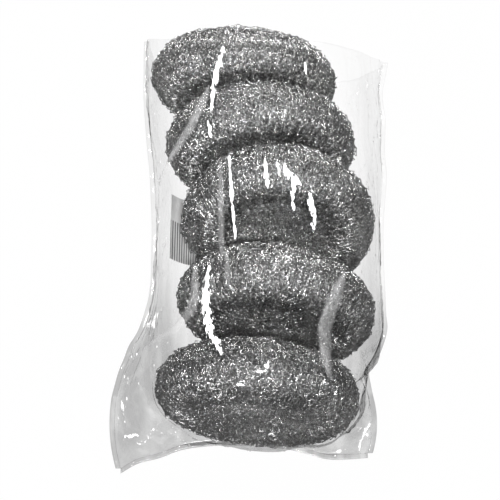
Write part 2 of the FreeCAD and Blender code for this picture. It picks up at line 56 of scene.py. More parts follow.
LUMP_SCALE, WOBBLE_SCALE, KINK_SCALE = 0.055, 0.36, 0.95  # Noise scales of the knit, per mm
log = logging.getLogger("scourer_pack")


class Side(Enum):
    """The two long sides of the bag, seen from the welded end."""

    LEFT = -1
    RIGHT = 1


class KnitForm(Enum):
    """What a stretch of the knitted sleeve is wrapped over."""

    RING = "ring"
    DISH = "dish"


# Plain helpers


Line = tuple[tuple[float, float], ...]  # Points of a line, each a place and a value, with rising places


def straight_line(at: np.ndarray, points: Line) -> np.ndarray:
    """Read a line that runs straight from point to point, held at its ends."""
    return np.interp(at, *zip(*points))


def even_curve(at: np.ndarray, points: Line | np.ndarray) -> np.ndarray:
    """Read a smooth line through given points.

    Args:
        at: Where to read the line.
        points: The points, each a place and a value, with rising places.

    Returns:
        The line's values, held at the ends.
    """
    p, v = np.asarray(points, float).T
    slope = np.gradient(v, p)
    at = np.clip(np.asarray(at, float), p[0], p[-1])
    i = np.clip(np.searchsorted(p, at) - 1, 0, len(p) - 2)
    step = p[i + 1] - p[i]
    t = (at - p[i]) / step
    return ((2 * t**3 - 3 * t**2 + 1) * v[i] + (t**3 - 2 * t**2 + t) * step * slope[i]
            + (3 * t**2 - 2 * t**3) * v[i + 1] + (t**3 - t**2) * step * slope[i + 1])


def ease(low: float, high: float, x: np.ndarray) -> np.ndarray:
    """Go smoothly from 0 at low to 1 at high."""
    t = np.clip((np.asarray(x, float) - low) / (high - low), 0, 1)
    return t * t * (3 - 2 * t)


def rumple(across: np.ndarray, along: np.ndarray, seed: int, wave: tuple[float, float]) -> np.ndarray:
    """Make a smooth random field of about unit deviation.

    Args:
        across: Places across the film, in mm.
        along: Places along the film, in mm.
        seed: Which field.
        wave: Usual wavelength across and along, in mm.

    Returns:
        The field at each place.
    """
    rng = np.random.default_rng(seed)
    total = np.zeros(np.broadcast(across, along).shape)
    count = 16
    for _ in range(count):
        ka = rng.normal() / wave[0]
        kb = rng.normal() / wave[1]
        total += np.cos(FULL_TURN * (ka * across + kb * along) + rng.uniform(0, FULL_TURN))
    return total / math.sqrt(count / 2)


def creases(values: np.ndarray, sharp: float) -> np.ndarray:
    """Turn a random field into a net of crease lines, 1 on a line and 0 away from it."""
    return np.exp(-np.abs(values) / sharp)


def add_object(name: str, data: ID) -> Object:
    """Put a mesh, a lamp or a camera into the scene, at the origin.

    Args:
        name: The object's name.
        data: The mesh, lamp or camera.

    Returns:
        The object.
    """
    obj = bpy.data.objects.new(name, data)
    bpy.context.scene.collection.objects.link(obj)
    return obj


def modified_mesh(obj: Object) -> Mesh:
    """Give what an object's modifiers make of it, as a new mesh."""
    depsgraph = bpy.context.evaluated_depsgraph_get()
    return bpy.data.meshes.new_from_object(obj.evaluated_get(depsgraph))


def settle(obj: Object) -> None:
    """Replace an object's mesh by what its modifiers make of it, and drop them.

    Args:
        obj: The object.
    """
    mesh = modified_mesh(obj)
    obj.modifiers.clear()
    old = obj.data
    obj.data = mesh
    bpy.data.meshes.remove(old)


def mark_points(mesh: Mesh, marks: dict[str, np.ndarray]) -> None:
    """Keep named values on a mesh's points, for its finish to read.

    Args:
        mesh: The mesh.
        marks: The values of each name, one for each point.
    """
    for key, values in marks.items():
        layer = mesh.attributes.new(key, "FLOAT", "POINT")
        layer.data.foreach_set("value", values.reshape(-1).astype(np.float32))


def grid_mesh(name: str, points: np.ndarray, marks: dict[str, np.ndarray]) -> Mesh:
    """Make a sheet from a grid of points.

    Args:
        name: The mesh's name.
        points: Rows by columns by 3, in mm.
        marks: Named values for each point, kept as attributes.

    Returns:
        The open sheet, with a face for each cell of the grid.
    """
    rows, cols = points.shape[:2]
    index = np.arange(rows * cols).reshape(rows, cols)
    faces = np.stack([index[:-1, :-1], index[1:, :-1], index[1:, 1:], index[:-1, 1:]], -1).reshape(-1, 4)
    mesh = bpy.data.meshes.new(name)
    mesh.from_pydata((points.reshape(-1, 3) * MM).tolist(), [], faces.tolist())
    mark_points(mesh, marks)
    mesh.shade_smooth()
    return mesh


def capped_faces(count: int, around: int) -> list[list[int]]:
    """Give the faces that join a row of rings into a tube, with a cap on each end.

    Args:
        count: How many rings.
        around: How many points each ring has.

    Returns:
        The points of each face.
    """
    index = np.arange(count * around).reshape(count, around)
    near, far = index[:-1], index[1:]
    faces = np.stack([near, far, np.roll(far, -1, 1), np.roll(near, -1, 1)], -1).reshape(-1, 4).tolist()
    return faces + [index[0].tolist(), index[-1][::-1].tolist()]


def lengths(points: np.ndarray, axis: int) -> np.ndarray:
    """Give each point's distance from the first one, over the points along one axis of a line or grid."""
    steps = np.diff(points, axis=axis, prepend=np.take(points, [0], axis))
    return np.cumsum(np.linalg.norm(steps, axis=-1), axis)


def grid_normals(points: np.ndarray) -> np.ndarray:
    """Give the unit normal of a grid of points, on the side where rows cross columns."""
    normal = np.cross(np.gradient(points, axis=0), np.gradient(points, axis=1))
    return normal / np.maximum(np.linalg.norm(normal, axis=-1, keepdims=True), 1e-9)


# Node trees


class Term:
    """A number inside a node tree, which plain sums and functions build on."""

    def __init__(self, tree: NodeTree, socket: NodeSocket) -> None:
        """Wrap an output socket."""
        self.tree = tree
        self.socket = socket

    def through(self, operation: str, *others: "Term | float") -> "Term":
        """Put this number through a Math node.

        Args:
            operation: The node's operation.
            others: Its further inputs.

        Returns:
            The node's result.
        """
        node = self.tree.nodes.new("ShaderNodeMath")
        node.operation = operation
        self.tree.links.new(self.socket, node.inputs[0])
        for slot, other in enumerate(others, 1):
            if isinstance(other, Term):
                self.tree.links.new(other.socket, node.inputs[slot])
            else:
                node.inputs[slot].default_value = other
        return Term(self.tree, node.outputs[0])

    def __add__(self, other: "Term | float") -> "Term":
        """Add."""
        return self.through("ADD", other)

    def __sub__(self, other: "Term | float") -> "Term":
        """Take away."""
        return self.through("SUBTRACT", other)

    def __mul__(self, other: "Term | float") -> "Term":
        """Multiply."""
        return self.through("MULTIPLY", other)

    def __truediv__(self, other: "Term | float") -> "Term":
        """Divide."""
        return self.through("DIVIDE", other)


class Nodes:
    """A node tree while it is put together."""

    def __init__(self, tree: NodeTree) -> None:
        """Start with the tree's nodes cleared away."""
        self.tree = tree
        self.tree.nodes.clear()

    def node(self, kind: str, **values: object) -> Node:
        """Add a node.

        Args:
            kind: The node's type.
            values: Its inputs by name with _ for a space, each a plain value, a Term or an output socket.

        Returns:
            The node.
        """
        made = self.tree.nodes.new(kind)
        for key, value in values.items():
            socket = made.inputs[key.replace("_", " ")]
            if isinstance(value, NodeSocket):
                self.tree.links.new(value, socket)
            elif isinstance(value, Term):
                self.tree.links.new(value.socket, socket)
            else:
                socket.default_value = value
        return made

    def mix(self, share: Term, first: Node, second: Node) -> Node:
        """Mix two shaders.

        Args:
            share: How much of the second shader there is.
            first: The first shader's node.
            second: The second shader's node.

        Returns:
            The mix's node.
        """
        made = self.node("ShaderNodeMixShader", Fac=share)
        self.tree.links.new(first.outputs[0], made.inputs[1])
        self.tree.links.new(second.outputs[0], made.inputs[2])
        return made


class Shading(Nodes):
    """A material's node tree."""

    def __init__(self, name: str) -> None:
        """Start a material with an empty tree.

        Args:
            name: The material's name.
        """
        self.material = bpy.data.materials.new(name)
        self.material.use_nodes = True
        super().__init__(self.material.node_tree)

    def place(self, scale: tuple[float, float, float]) -> NodeSocket:
        """Give the place on the piece in its own frame, stretched."""
        spot = self.node("ShaderNodeTexCoord").outputs["Object"]
        return self.node("ShaderNodeMapping", Vector=spot, Scale=scale).outputs["Vector"]

    def noise(self, scale: tuple[float, float, float], detail: float) -> Term:
        """Give a noise between 0 and 1 on the piece's own frame."""
        made = self.node("ShaderNodeTexNoise", Vector=self.place(scale), Scale=1.0, Detail=detail)
        return Term(self.tree, made.outputs["Fac"])

    def mark(self, name: str) -> Term:
        """Read one of the mesh's own values.

        Args:
            name: The value's name.

        Returns:
            The value.
        """
        made = self.node("ShaderNodeAttribute")
        made.attribute_name = name
        return Term(self.tree, made.outputs["Fac"])

    def span(self, value: Term, low: float, high: float, start: float = 0.0, stop: float = 1.0) -> Term:
        """Stretch a value that runs from start to stop so that it runs from low to high."""
        made = self.node("ShaderNodeMapRange", Value=value, From_Min=start, From_Max=stop,
                         To_Min=low, To_Max=high)
        return Term(self.tree, made.outputs["Result"])

    def blend(self, share: Term, first: tuple[float, ...], second: tuple[float, ...]) -> NodeSocket:
        """Mix two colours.

        Args:
            share: How much of the second colour there is.
            first: The first colour.
            second: The second colour.

        Returns:
            The mixed colour.
        """
        made = self.tree.nodes.new("ShaderNodeMix")
        made.data_type = "RGBA"
        self.tree.links.new(share.socket, made.inputs["Factor"])
        made.inputs[6].default_value = first
        made.inputs[7].default_value = second
        return made.outputs[2]

    def bump(self, height: Term, distance: float) -> NodeSocket:
        """Make a bump from a height."""
        made = self.node("ShaderNodeBump", Height=height, Distance=distance, Strength=1.0)
        return made.outputs["Normal"]

    def finish(self, shader: Node) -> Material:
        """Send a shader to the output and give the material."""
        self.node("ShaderNodeOutputMaterial", Surface=shader.outputs[0])
        return self.material


# Finishes


def grey(level: float) -> tuple[float, float, float, float]:
    """Give an opaque grey."""
    return (level, level, level, 1.0)


@dataclass(frozen=True)
class WireFinish:
    """Galvanised flat wire, bright where it is scuffed."""

    dull: float = 0.175
    bright: float = 0.47
    rough: float = 0.16
    rougher: float = 0.3

    def material(self) -> Material:
        """Build the finish's nodes.

        Returns:
            The material.
        """
        s = Shading("galvanised_wire")
        spangle = s.noise((900, 900, 900), 2.0)
        patch = s.noise((70, 70, 70), 1.0)
        share = s.span(spangle + patch * 0.6, 0.0, 1.0, 0.55, 1.05)
        colour = s.blend(share, grey(self.dull), grey(self.bright))
        rough = s.span(spangle, self.rough, self.rougher, 0.3, 0.7)
        made = s.node("ShaderNodeBsdfPrincipled", Base_Color=colour, Roughness=rough, Metallic=1.0)
        return s.finish(made)


@dataclass(frozen=True)
class PackedWireFinish:
    """The dense inner turns, where no single stitch can be told apart, with painted glints and painted shade
    in the gaps.
    """

    painted_gap_shade: float = 0.1
    painted_glint: float = 0.6
    rough: float = 0.45
    metal: float = 0.8
    depth: float = 0.0012

    def material(self) -> Material:
        """Build the finish's nodes.

        Returns:
            The material.
        """
        s = Shading("packed_wire")
        # Painted glints and painted gap shade: a noise between a dark and a bright grey stands in for lit
        # wires and shaded gaps
        tangle = s.noise((760, 760, 760), 3.0)
        share = s.span(tangle, 0.0, 1.0, 0.46, 0.72)
        colour = s.blend(share, grey(self.painted_gap_shade), grey(self.painted_glint))
        normal = s.bump(tangle, self.depth)
        made = s.node("ShaderNodeBsdfPrincipled", Base_Color=colour, Roughness=self.rough,
                      Metallic=self.metal, Normal=normal)
        return s.finish(made)


@dataclass(frozen=True)
class FilmFinish:
    """Clear crinkled film, milky along its creases, with painted highlights and painted shade."""

    name: str = "clear_film"
    veil: float = 0.012
    milk: float = 0.35
    painted_glare: float = 0.96
    most_milk: float = 0.97
    clear: float = 0.997
    shaded: float = 0.845
    rough: float = 0.1
    mirror: float = 1.26
    most_mirror: float = 0.08
    crinkle: float = 0.00016
    jagged: float = 1.8

    def material(self) -> Material:
        """Build the finish's nodes.

        Returns:
            The material.
        """
        s = Shading(self.name)
        streaks = s.noise((150, 14, 110), 2.0)
        crumple = s.noise((130, 60, 130), 2.0)
        flakes = s.noise((820, 300, 640), 3.0)
        # Painted highlight: jagged white flakes where the mesh is marked for one, joined into the milky haze
        painted_glare = s.span(s.mark("painted_highlight") + (flakes - 0.5) * self.jagged, 0.0, 1.0, 0.46, 0.56)
        haze = (s.mark("haze") * s.span(flakes, 0.5, 1.5, 0.3, 0.7)).through("MAXIMUM", painted_glare)
        normal = s.bump(crumple + streaks, self.crinkle)
        # The skin is milky grey where hazed, and painted white on the painted highlight
        colour = s.blend(haze, grey(self.milk), grey(self.painted_glare))
        skin = s.node("ShaderNodeBsdfPrincipled", Base_Color=colour, Roughness=0.3, IOR=1.5, Normal=normal)
        # Painted shade: the see-through colour darkens where the mesh is marked, broken up by streaks
        shade = s.mark("tint_and_painted_shade") * s.span(streaks, 0.55, 1.45, 0.32, 0.68)
        tint_and_painted_shade = s.blend(shade, grey(self.clear), grey(self.shaded))
        through = s.node("ShaderNodeBsdfTransparent", Color=tint_and_painted_shade)
        milk = s.span(streaks, 0.0, self.veil, 0.42, 0.75) + haze
        body = s.mix(milk.through("MINIMUM", self.most_milk), through, skin)
        gloss = s.node("ShaderNodeBsdfGlossy", Color=grey(1.0), Roughness=self.rough, Normal=normal)
        mirror = Term(s.tree, s.node("ShaderNodeFresnel", IOR=self.mirror, Normal=normal).outputs[0])
        mirror = mirror.through("MINIMUM", self.most_mirror)
        outer = Term(s.tree, s.node("ShaderNodeNewGeometry").outputs["Backfacing"]).through("LESS_THAN", 0.5)
        return s.finish(s.mix(mirror * outer, body, gloss))


@dataclass(frozen=True)
class PaperFinish:
    """Matt label paper with plain even bars in one ink."""

    paper: float = 0.56
    ink: float = 0.07
    rough: float = 0.7
    bars_per_metre: float = 911.89
    bars_per_scale: float = 10 / math.pi
    bars_end: float = 0.0197

    def material(self) -> Material:
        """Build the finish's nodes.

        Returns:
            The material.
        """
        s = Shading("label_paper")
        fibre = s.noise((2400, 2400, 2400), 3.0)
        wave = s.node("ShaderNodeTexWave", Vector=s.place((1.0, 0.0, 0.0)),
                      Scale=self.bars_per_metre / self.bars_per_scale)
        bars = s.span(Term(s.tree, wave.outputs["Fac"]), 0.0, 1.0, 0.45, 0.55)
        spot = s.node("ShaderNodeSeparateXYZ", Vector=s.place((1.0, 1.0, 1.0)))
        printed = Term(s.tree, spot.outputs["Y"]).through("LESS_THAN", self.bars_end)
        ink = bars * printed * s.span(fibre, 0.8, 1.0, 0.3, 0.7)
        colour = s.blend(ink, grey(self.paper), grey(self.ink))
        normal = s.bump(fibre, 0.0001)
        made = s.node("ShaderNodeBsdfPrincipled", Base_Color=colour, Roughness=self.rough, Normal=normal)
        return s.finish(made)


# The knitted wire


@dataclass(frozen=True)
class KnitLayer:
    """One layer of stitches, in mm and degrees.

    On a dish, rim is the height of its middle, ring how far it has risen at DISH_REACH from there, and the
    stitches go from start to stop in mm from the middle.
    """

    wales: int
    rows: int
    steps: int
    ring: float
    rim: float
    start: float = -140.0
    stop: float = 140.0
    swing: float = 0.15
    reach: float = 1.2
    lift: float = 0.4
    wire: float = 0.22
    wobble: float = 3.2
    lump: float = 2.6
    kink: float = 1.0
    twist: float = 0.0
    ridge: float = 0.35


class KnitTree(Nodes):
    """A Geometry Nodes tree that knits rows of stitches round a ring's section or over a dish."""

    SIZES = (*(size.name for size in fields(KnitLayer)), "seed")

    def __init__(self, form: KnitForm, wire: Material) -> None:
        """Build the tree.

        Args:
            form: What the stitches are wrapped over.
            wire: The wire's material.
        """
        super().__init__(bpy.data.node_groups.new(f"knit_{form.value}", "GeometryNodeTree"))
        self.keys: dict[str, str] = {}
        for way in ("INPUT", "OUTPUT"):
            self.tree.interface.new_socket("Geometry", in_out=way, socket_type="NodeSocketGeometry")
        for name in self.SIZES:
            socket = self.tree.interface.new_socket(name, in_out="INPUT", socket_type="NodeSocketFloat")
            self.keys[name] = socket.identifier
        entry = self.node("NodeGroupInput")
        self.size = {name: Term(self.tree, entry.outputs[name]) for name in self.SIZES}
        self.build(form, wire)

    def sum(self, operation: str, first: NodeSocket,
            second: NodeSocket | tuple[float, ...] | float) -> NodeSocket:
        """Put a vector through a Vector Math node.

        Args:
            operation: The node's operation.
            first: The vector.
            second: The other vector, or the number that SCALE takes.

        Returns:
            The node's result.
        """
        node = self.node("ShaderNodeVectorMath", Vector=first)
        node.operation = operation
        other = node.inputs["Scale"] if operation == "SCALE" else node.inputs[1]
        if isinstance(second, NodeSocket):
            self.tree.links.new(second, other)
        else:
            other.default_value = second
        return node.outputs[0]

    def shake(self, place: NodeSocket, scale: float, amount: Term) -> NodeSocket:
        """Move places by a seeded noise.

        Args:
            place: The places.
            scale: The noise's scale, per mm.
            amount: How far it moves them, in mm.

        Returns:
            The moved places.
        """
        noise = self.node("ShaderNodeTexNoise", Vector=place, Scale=scale, Detail=1.0)
        noise.noise_dimensions = "4D"
        self.tree.links.new(self.size["seed"].socket, noise.inputs["W"])
        centred = self.sum("SUBTRACT", noise.outputs["Color"], (0.5, 0.5, 0.5))
        return self.sum("ADD", place, self.sum("SCALE", centred, amount.socket))

    def build(self, form: KnitForm, wire: Material) -> None:
        """Lay the stitches out and turn them into wire.

        Args:
            form: What the stitches are wrapped over.
            wire: The wire's material.
        """
        size = self.size
        index = Term(self.tree, self.node("GeometryNodeInputIndex").outputs[0])
        per_row = size["wales"] * size["steps"]
        row = ((index + 0.5) / per_row).through("FLOOR")
        step = index - row * per_row
        stitch = step / size["steps"]
        phase = stitch * FULL_TURN
        across = stitch + size["swing"] * (phase * 2.0).through("SINE") + row * size["twist"]
        angle = across * FULL_TURN / size["wales"]
        share = (row + 0.5 + size["reach"] * phase.through("COSINE")) / size["rows"]
        lift = size["lift"] * (phase * 2.0).through("COSINE")
        span = size["start"] + (size["stop"] - size["start"]) * share
        if form is KnitForm.RING:
            section = span * (math.pi / 180)
            depth = size["rim"] + lift - size["ridge"] * (section * ROWS_ROUND).through("COSINE")
            out = size["ring"] + depth * section.through("COSINE")
            height = depth * section.through("SINE")
        else:
            out = span
            height = size["rim"] + size["ring"] * (span / DISH_REACH).through("POWER", 2.0) + lift
        spot = self.node("ShaderNodeCombineXYZ", X=out * angle.through("COSINE"),
                         Y=out * angle.through("SINE"), Z=height)
        place = spot.outputs[0]
        for scale, amount in ((LUMP_SCALE, "lump"), (WOBBLE_SCALE, "wobble"), (KINK_SCALE, "kink")):
            place = self.shake(place, scale, size[amount])
        points = self.node("GeometryNodePoints", Count=per_row * size["rows"],
                           Position=self.sum("SCALE", place, MM))
        runs = self.node("GeometryNodePointsToCurves", Points=points.outputs[0], Curve_Group_ID=row,
                         Weight=step)
        closed = self.node("GeometryNodeSetSplineCyclic", Geometry=runs.outputs[0], Cyclic=True)
        outline = self.node("GeometryNodeCurvePrimitiveCircle", Radius=size["wire"] * MM, Resolution=3)
        tube = self.node("GeometryNodeCurveToMesh", Curve=closed.outputs[0],
                         Profile_Curve=outline.outputs["Curve"])
        real = self.node("GeometryNodeRealizeInstances", Geometry=tube.outputs[0])
        dressed = self.node("GeometryNodeSetMaterial", Geometry=real.outputs[0], Material=wire)
        self.node("NodeGroupOutput", Geometry=dressed.outputs[0])

    def knit(self, layer: KnitLayer, seed: float) -> Mesh:
        """Make one layer's wire.

        Args:
            layer: The layer's sizes.
            seed: Which wobble it gets.

        Returns:
            A plain mesh in the scourer's own frame, in metres.
        """
        maker = add_object("knit_maker", bpy.data.meshes.new("knit_maker"))
        modifier = maker.modifiers.new("knit", "NODES")
        modifier.node_group = self.tree
        for name, value in zip(self.SIZES, (*astuple(layer), seed)):
            modifier[self.keys[name]] = float(value)
        mesh = modified_mesh(maker)
        modifier.node_group = None
        bpy.data.objects.remove(maker)
        return mesh


@dataclass
class Scourer:
    """One rolled wire sleeve: its outer turn, its inner turns and its tucked end."""

    number: int
    lean: float
    turn: float
    ring: float = 31.0
    rim: float = 14.5
    face: float = 10.0
    core_depth: float = 3.7
    plug: float = 22.5
    fill: float = 0.85

    def matrix(self) -> Matrix:
        """Place the scourer in the pack, by its outer turn's box.

        Returns:
            The scourer's own frame.
        """
        low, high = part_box(f"scourer_{self.number}_outer_turn")
        middle = (Vector(low) + Vector(high)) / 2
        turn = Matrix.Rotation(math.radians(self.turn), 4, "Z")
        lean = Matrix.Rotation(math.radians(self.lean), 4, "X")
        return Matrix.Translation(middle) @ (turn @ lean)

    def piece(self, part: str, meshes: list[Mesh], materials: list[Material],
              faces_of: list[int]) -> Object:
        """Join meshes into the piece that stands for one stretch of the sleeve.

        Args:
            part: The stretch's name.
            meshes: What it is made of, in the scourer's own frame.
            materials: The piece's materials.
            faces_of: For each mesh, the place of its material among them.

        Returns:
            The piece, riding with its scourer.
        """
        joined = bmesh.new()
        for mesh, slot in zip(meshes, faces_of):
            begin = len(joined.faces)
            joined.from_mesh(mesh)
            joined.faces.ensure_lookup_table()
            for face in joined.faces[begin:]:
                face.material_index = slot
                face.smooth = True
            bpy.data.meshes.remove(mesh)
        joined.transform(self.matrix())
        name = f"wire_{self.number}_{part}"
        data = bpy.data.meshes.new(name)
        joined.to_mesh(data)
        joined.free()
        for material in materials:
            data.materials.append(material)
        obj = add_object(name, data)
        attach(obj, f"scourer_{self.number}")
        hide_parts(f"scourer_{self.number}_{part}")
        log.info("%s: %d faces", name, len(data.polygons))
        return obj

    def core(self) -> Mesh:
        """Make the dense inner turns, a lumpy ring under the knitted layers.

        Returns:
            The ring, in the scourer's own frame.
        """
        rows, cols = 40, 120
        section = np.linspace(0, FULL_TURN, rows, endpoint=False)[:, None]
        angle = np.linspace(0, FULL_TURN, cols, endpoint=False)[None, :]
        lumps = np.sin(5 * angle + 2 * section + self.number) + np.sin(11 * angle - 3 * section)
        depth = self.rim - self.core_depth + 0.25 * lumps
        out = self.ring + depth * np.cos(section)
        points = np.stack([out * np.cos(angle), out * np.sin(angle), depth * np.sin(section)], -1) * MM
        index = np.arange(rows * cols).reshape(rows, cols)
        down = np.roll(index, -1, 0)
        faces = np.stack([index, np.roll(index, -1, 1), np.roll(down, -1, 1), down], -1).reshape(-1, 4)
        mesh = bpy.data.meshes.new("core")
        mesh.from_pydata(points.reshape(-1, 3).tolist(), [], faces.tolist())
        return mesh

    def pleats(self) -> Mesh:
        """Make the gathered end: a pleated plug with a shallow dimple on each face, joined at its rim.

        Returns:
            The plug, in the scourer's own frame.
        """
        rows, cols = 14, 120
        share = np.linspace(0.06, 1.0, rows)[:, None]
        angle = np.linspace(0, FULL_TURN, cols, endpoint=False)[None, :]
        folds = np.sin(14 * angle + 0.6 * np.sin(3 * angle)) * (0.35 + 0.65 * share)
        out = self.plug * share + 0 * angle
        height = self.face - 1.2 + 2.0 * share**2 + 0.45 * folds
        ring = np.stack([out * np.cos(angle), out * np.sin(angle), height], -1)
        under = ring * np.array([1, 1, -1])
        points = np.concatenate([ring, under[::-1]]) * MM
        mesh = bpy.data.meshes.new("pleats")
        mesh.from_pydata(points.reshape(-1, 3).tolist(), [], capped_faces(rows * 2, cols))
        return mesh

    def build(self, ring_knit: KnitTree, dish_knit: KnitTree, wire: Material,
              packed: Material) -> list[Object]:
        """Make the scourer's three pieces.

        Args:
            ring_knit: The tree that knits round the ring.
            dish_knit: The tree that knits over the dimples.
            wire: The wire's material.
            packed: The dense inner turns' material.

        Returns:
            The pieces.
        """
        seed = 10.0 * self.number
        outer = KnitLayer(wales=66, rows=27, steps=9, ring=self.ring, rim=self.rim - 1.4)
        second = KnitLayer(wales=58, rows=22, steps=9, ring=self.ring, rim=self.rim - 2.0,
                           start=-138, stop=138, twist=0.5)
        fuzz = KnitLayer(wales=44, rows=14, steps=9, ring=self.ring, rim=self.rim - 0.8,
                         swing=0.2, wobble=4.5)
        under = KnitLayer(wales=48, rows=20, steps=8, ring=self.ring, rim=self.rim - 2.9,
                          start=-150, stop=150, twist=0.25)
        dish = KnitLayer(wales=40, rows=14, steps=9, ring=0.9, rim=self.face, start=1.0, stop=24.0,
                         lift=0.8, lump=1.2)
        shell = [ring_knit.knit(layer, seed + 2 * k) for k, layer in enumerate((outer, second, fuzz))]
        roll = [ring_knit.knit(under, seed + 6), self.core()]
        face = dish_knit.knit(dish, seed + 8)
        back = dish_knit.knit(dish, seed + 9)
        back.transform(Matrix.Rotation(math.pi, 4, "X"))
        return [
            self.piece("outer_turn", shell, [wire], [0, 0, 0]),
            self.piece("inner_roll", roll, [wire, packed], [0, 1]),
            self.piece("tucked_end", [face, back, self.pleats()], [wire, packed], [0, 0, 1]),
        ]


# The bag


@dataclass(frozen=True)
class Fold:
    """A crease pressed into the front web, seen from above, in mm, with milky haze or a painted highlight
    along it.
    """

    path: tuple[tuple[float, float], ...]
    width: float
    rise: float
    haze: float = 0.0
    painted_highlight: float = 0.0
    above: float = 30.0

    def nearness(self, x: np.ndarray, y: np.ndarray) -> np.ndarray:
        """Tell how near places are to the crease: 1 on it, 0 away from it.

        Args:
            x: Places across the bag.
            y: Places along the bag.

        Returns:
            The nearness at each place, thinner towards the crease's ends.
        """
        best = np.zeros(x.shape)
        count = len(self.path) - 1
        for i in range(count):
            (x0, y0), (x1, y1) = self.path[i], self.path[i + 1]
            dx, dy = x1 - x0, y1 - y0
            t = np.clip(((x - x0) * dx + (y - y0) * dy) / (dx * dx + dy * dy), 0, 1)
            gap = np.hypot(x - x0 - t * dx, y - y0 - t * dy)
            along = (i + t) / count
            taper = np.sqrt(np.clip(4 * along * (1 - along), 0.02, 1))
            best = np.maximum(best, np.exp(-(gap / (self.width * taper)) ** 2))
        return best


# Creases in the front web, each with milky haze or a painted highlight along it
FOLDS = (
    Fold(((-13.2, 70.0), (-15.6, 60.3), (-18.0, 49.7), (-18.9, 35.1)), 1.7, 1.4, painted_highlight=0.7),
    Fold(((-20.7, 31.5), (-18.8, 21.2)), 0.8, 0.5, painted_highlight=0.75),
    Fold(((-11.2, 13.7), (-9.8, -6.2), (-7.9, -32.6)), 0.75, 0.8, painted_highlight=0.95),
    Fold(((-18.9, -39.6), (-20.8, -58.0), (-17.7, -71.5), (-13.1, -82.0)), 2.1, 1.6, painted_highlight=0.72),
    Fold(((4.6, 8.6), (5.9, -6.2)), 1.2, 0.7, painted_highlight=0.85),
    Fold(((9.4, 7.0), (14.0, 2.2), (20.0, -3.3)), 3.0, 0.9, painted_highlight=0.7),
    Fold(((16.5, 0.0), (16.8, -16.0)), 1.6, 0.5, painted_highlight=0.62),
    Fold(((24.1, -2.0), (25.5, -24.0)), 1.9, 0.7, painted_highlight=0.6),
    Fold(((23.0, 60.3), (23.4, 54.0)), 0.6, 0.4, painted_highlight=0.7),
    Fold(((4.3, -88.4), (5.8, -85.0)), 1.3, 0.3, painted_highlight=0.8),
    Fold(((12.0, -90.2), (14.6, -90.7)), 0.9, 0.3, painted_highlight=0.75),
    Fold(((-48.0, -51.5), (-43.5, -53.5), (-43.5, -57.5)), 3.0, 0.6, painted_highlight=0.62, above=-60.0),
    Fold(((-53.4, -56.0), (-57.5, -60.5), (-61.0, -65.0)), 3.4, 0.6, painted_highlight=0.55, above=-60.0),
    Fold(((-59.5, -64.3), (-48.2, -65.2)), 0.5, 0.4, painted_highlight=0.6, above=-60.0),
    Fold(((-58.8, -79.5), (-58.0, -85.5)), 1.3, 0.3, painted_highlight=0.62, above=-60.0),
    Fold(((-59.5, -92.7), (-51.5, -93.3)), 0.6, 0.2, painted_highlight=0.8, above=-60.0),
    Fold(((52.2, -86.5), (49.0, -91.5), (48.3, -96.0)), 0.6, 0.3, painted_highlight=0.8, above=-60.0),
    Fold(((-12.0, -33.0), (-11.0, -52.0)), 1.0, 0.5, haze=0.08),
    Fold(((-15.0, 10.0), (-14.0, -40.0)), 1.3, 0.4, haze=0.09),
    Fold(((-43.0, 15.0), (-28.7, 31.5), (-20.0, 49.0)), 2.2, 1.2, haze=0.18),
    Fold(((-25.5, -38.0), (-25.1, -52.6), (-26.5, -58.4), (-33.0, -64.5), (-53.5, -66.0)), 2.2, 1.5,
         haze=0.13),
    Fold(((38.5, -41.0), (33.6, -54.9), (29.0, -67.0), (29.2, -78.2), (30.8, -88.0)), 2.7, 1.6, haze=0.13),
)


@dataclass(frozen=True)
class Creasing:
    """The film's small creases: their wavelengths across and along in mm, and how they rise, haze and carry a
    painted highlight.

    A pair of rises, in mm, or of hazes is for taut film and what slack adds to it.
    """

    long_wave: tuple[float, float] = (24.0, 240.0)
    slant_wave: tuple[float, float] = (46.0, 120.0)
    soft_wave: tuple[float, float] = (34.0, 110.0)
    cloud_wave: tuple[float, float] = (17.0, 40.0)
    fleck_wave: tuple[float, float] = (9.0, 30.0)
    long_rise: tuple[float, float] = (0.06, 0.45)
    slant_rise: tuple[float, float] = (0.05, 0.5)
    soft_rise: float = 1.5
    long_haze: tuple[float, float] = (0.006, 0.03)
    slant_haze: tuple[float, float] = (0.006, 0.035)
    cloud_haze: float = 0.02
    long_painted_highlight: float = 0.28
    slant_painted_highlight: float = 0.36
    cloud_painted_highlight: float = 0.08
    inwards: float = 0.6


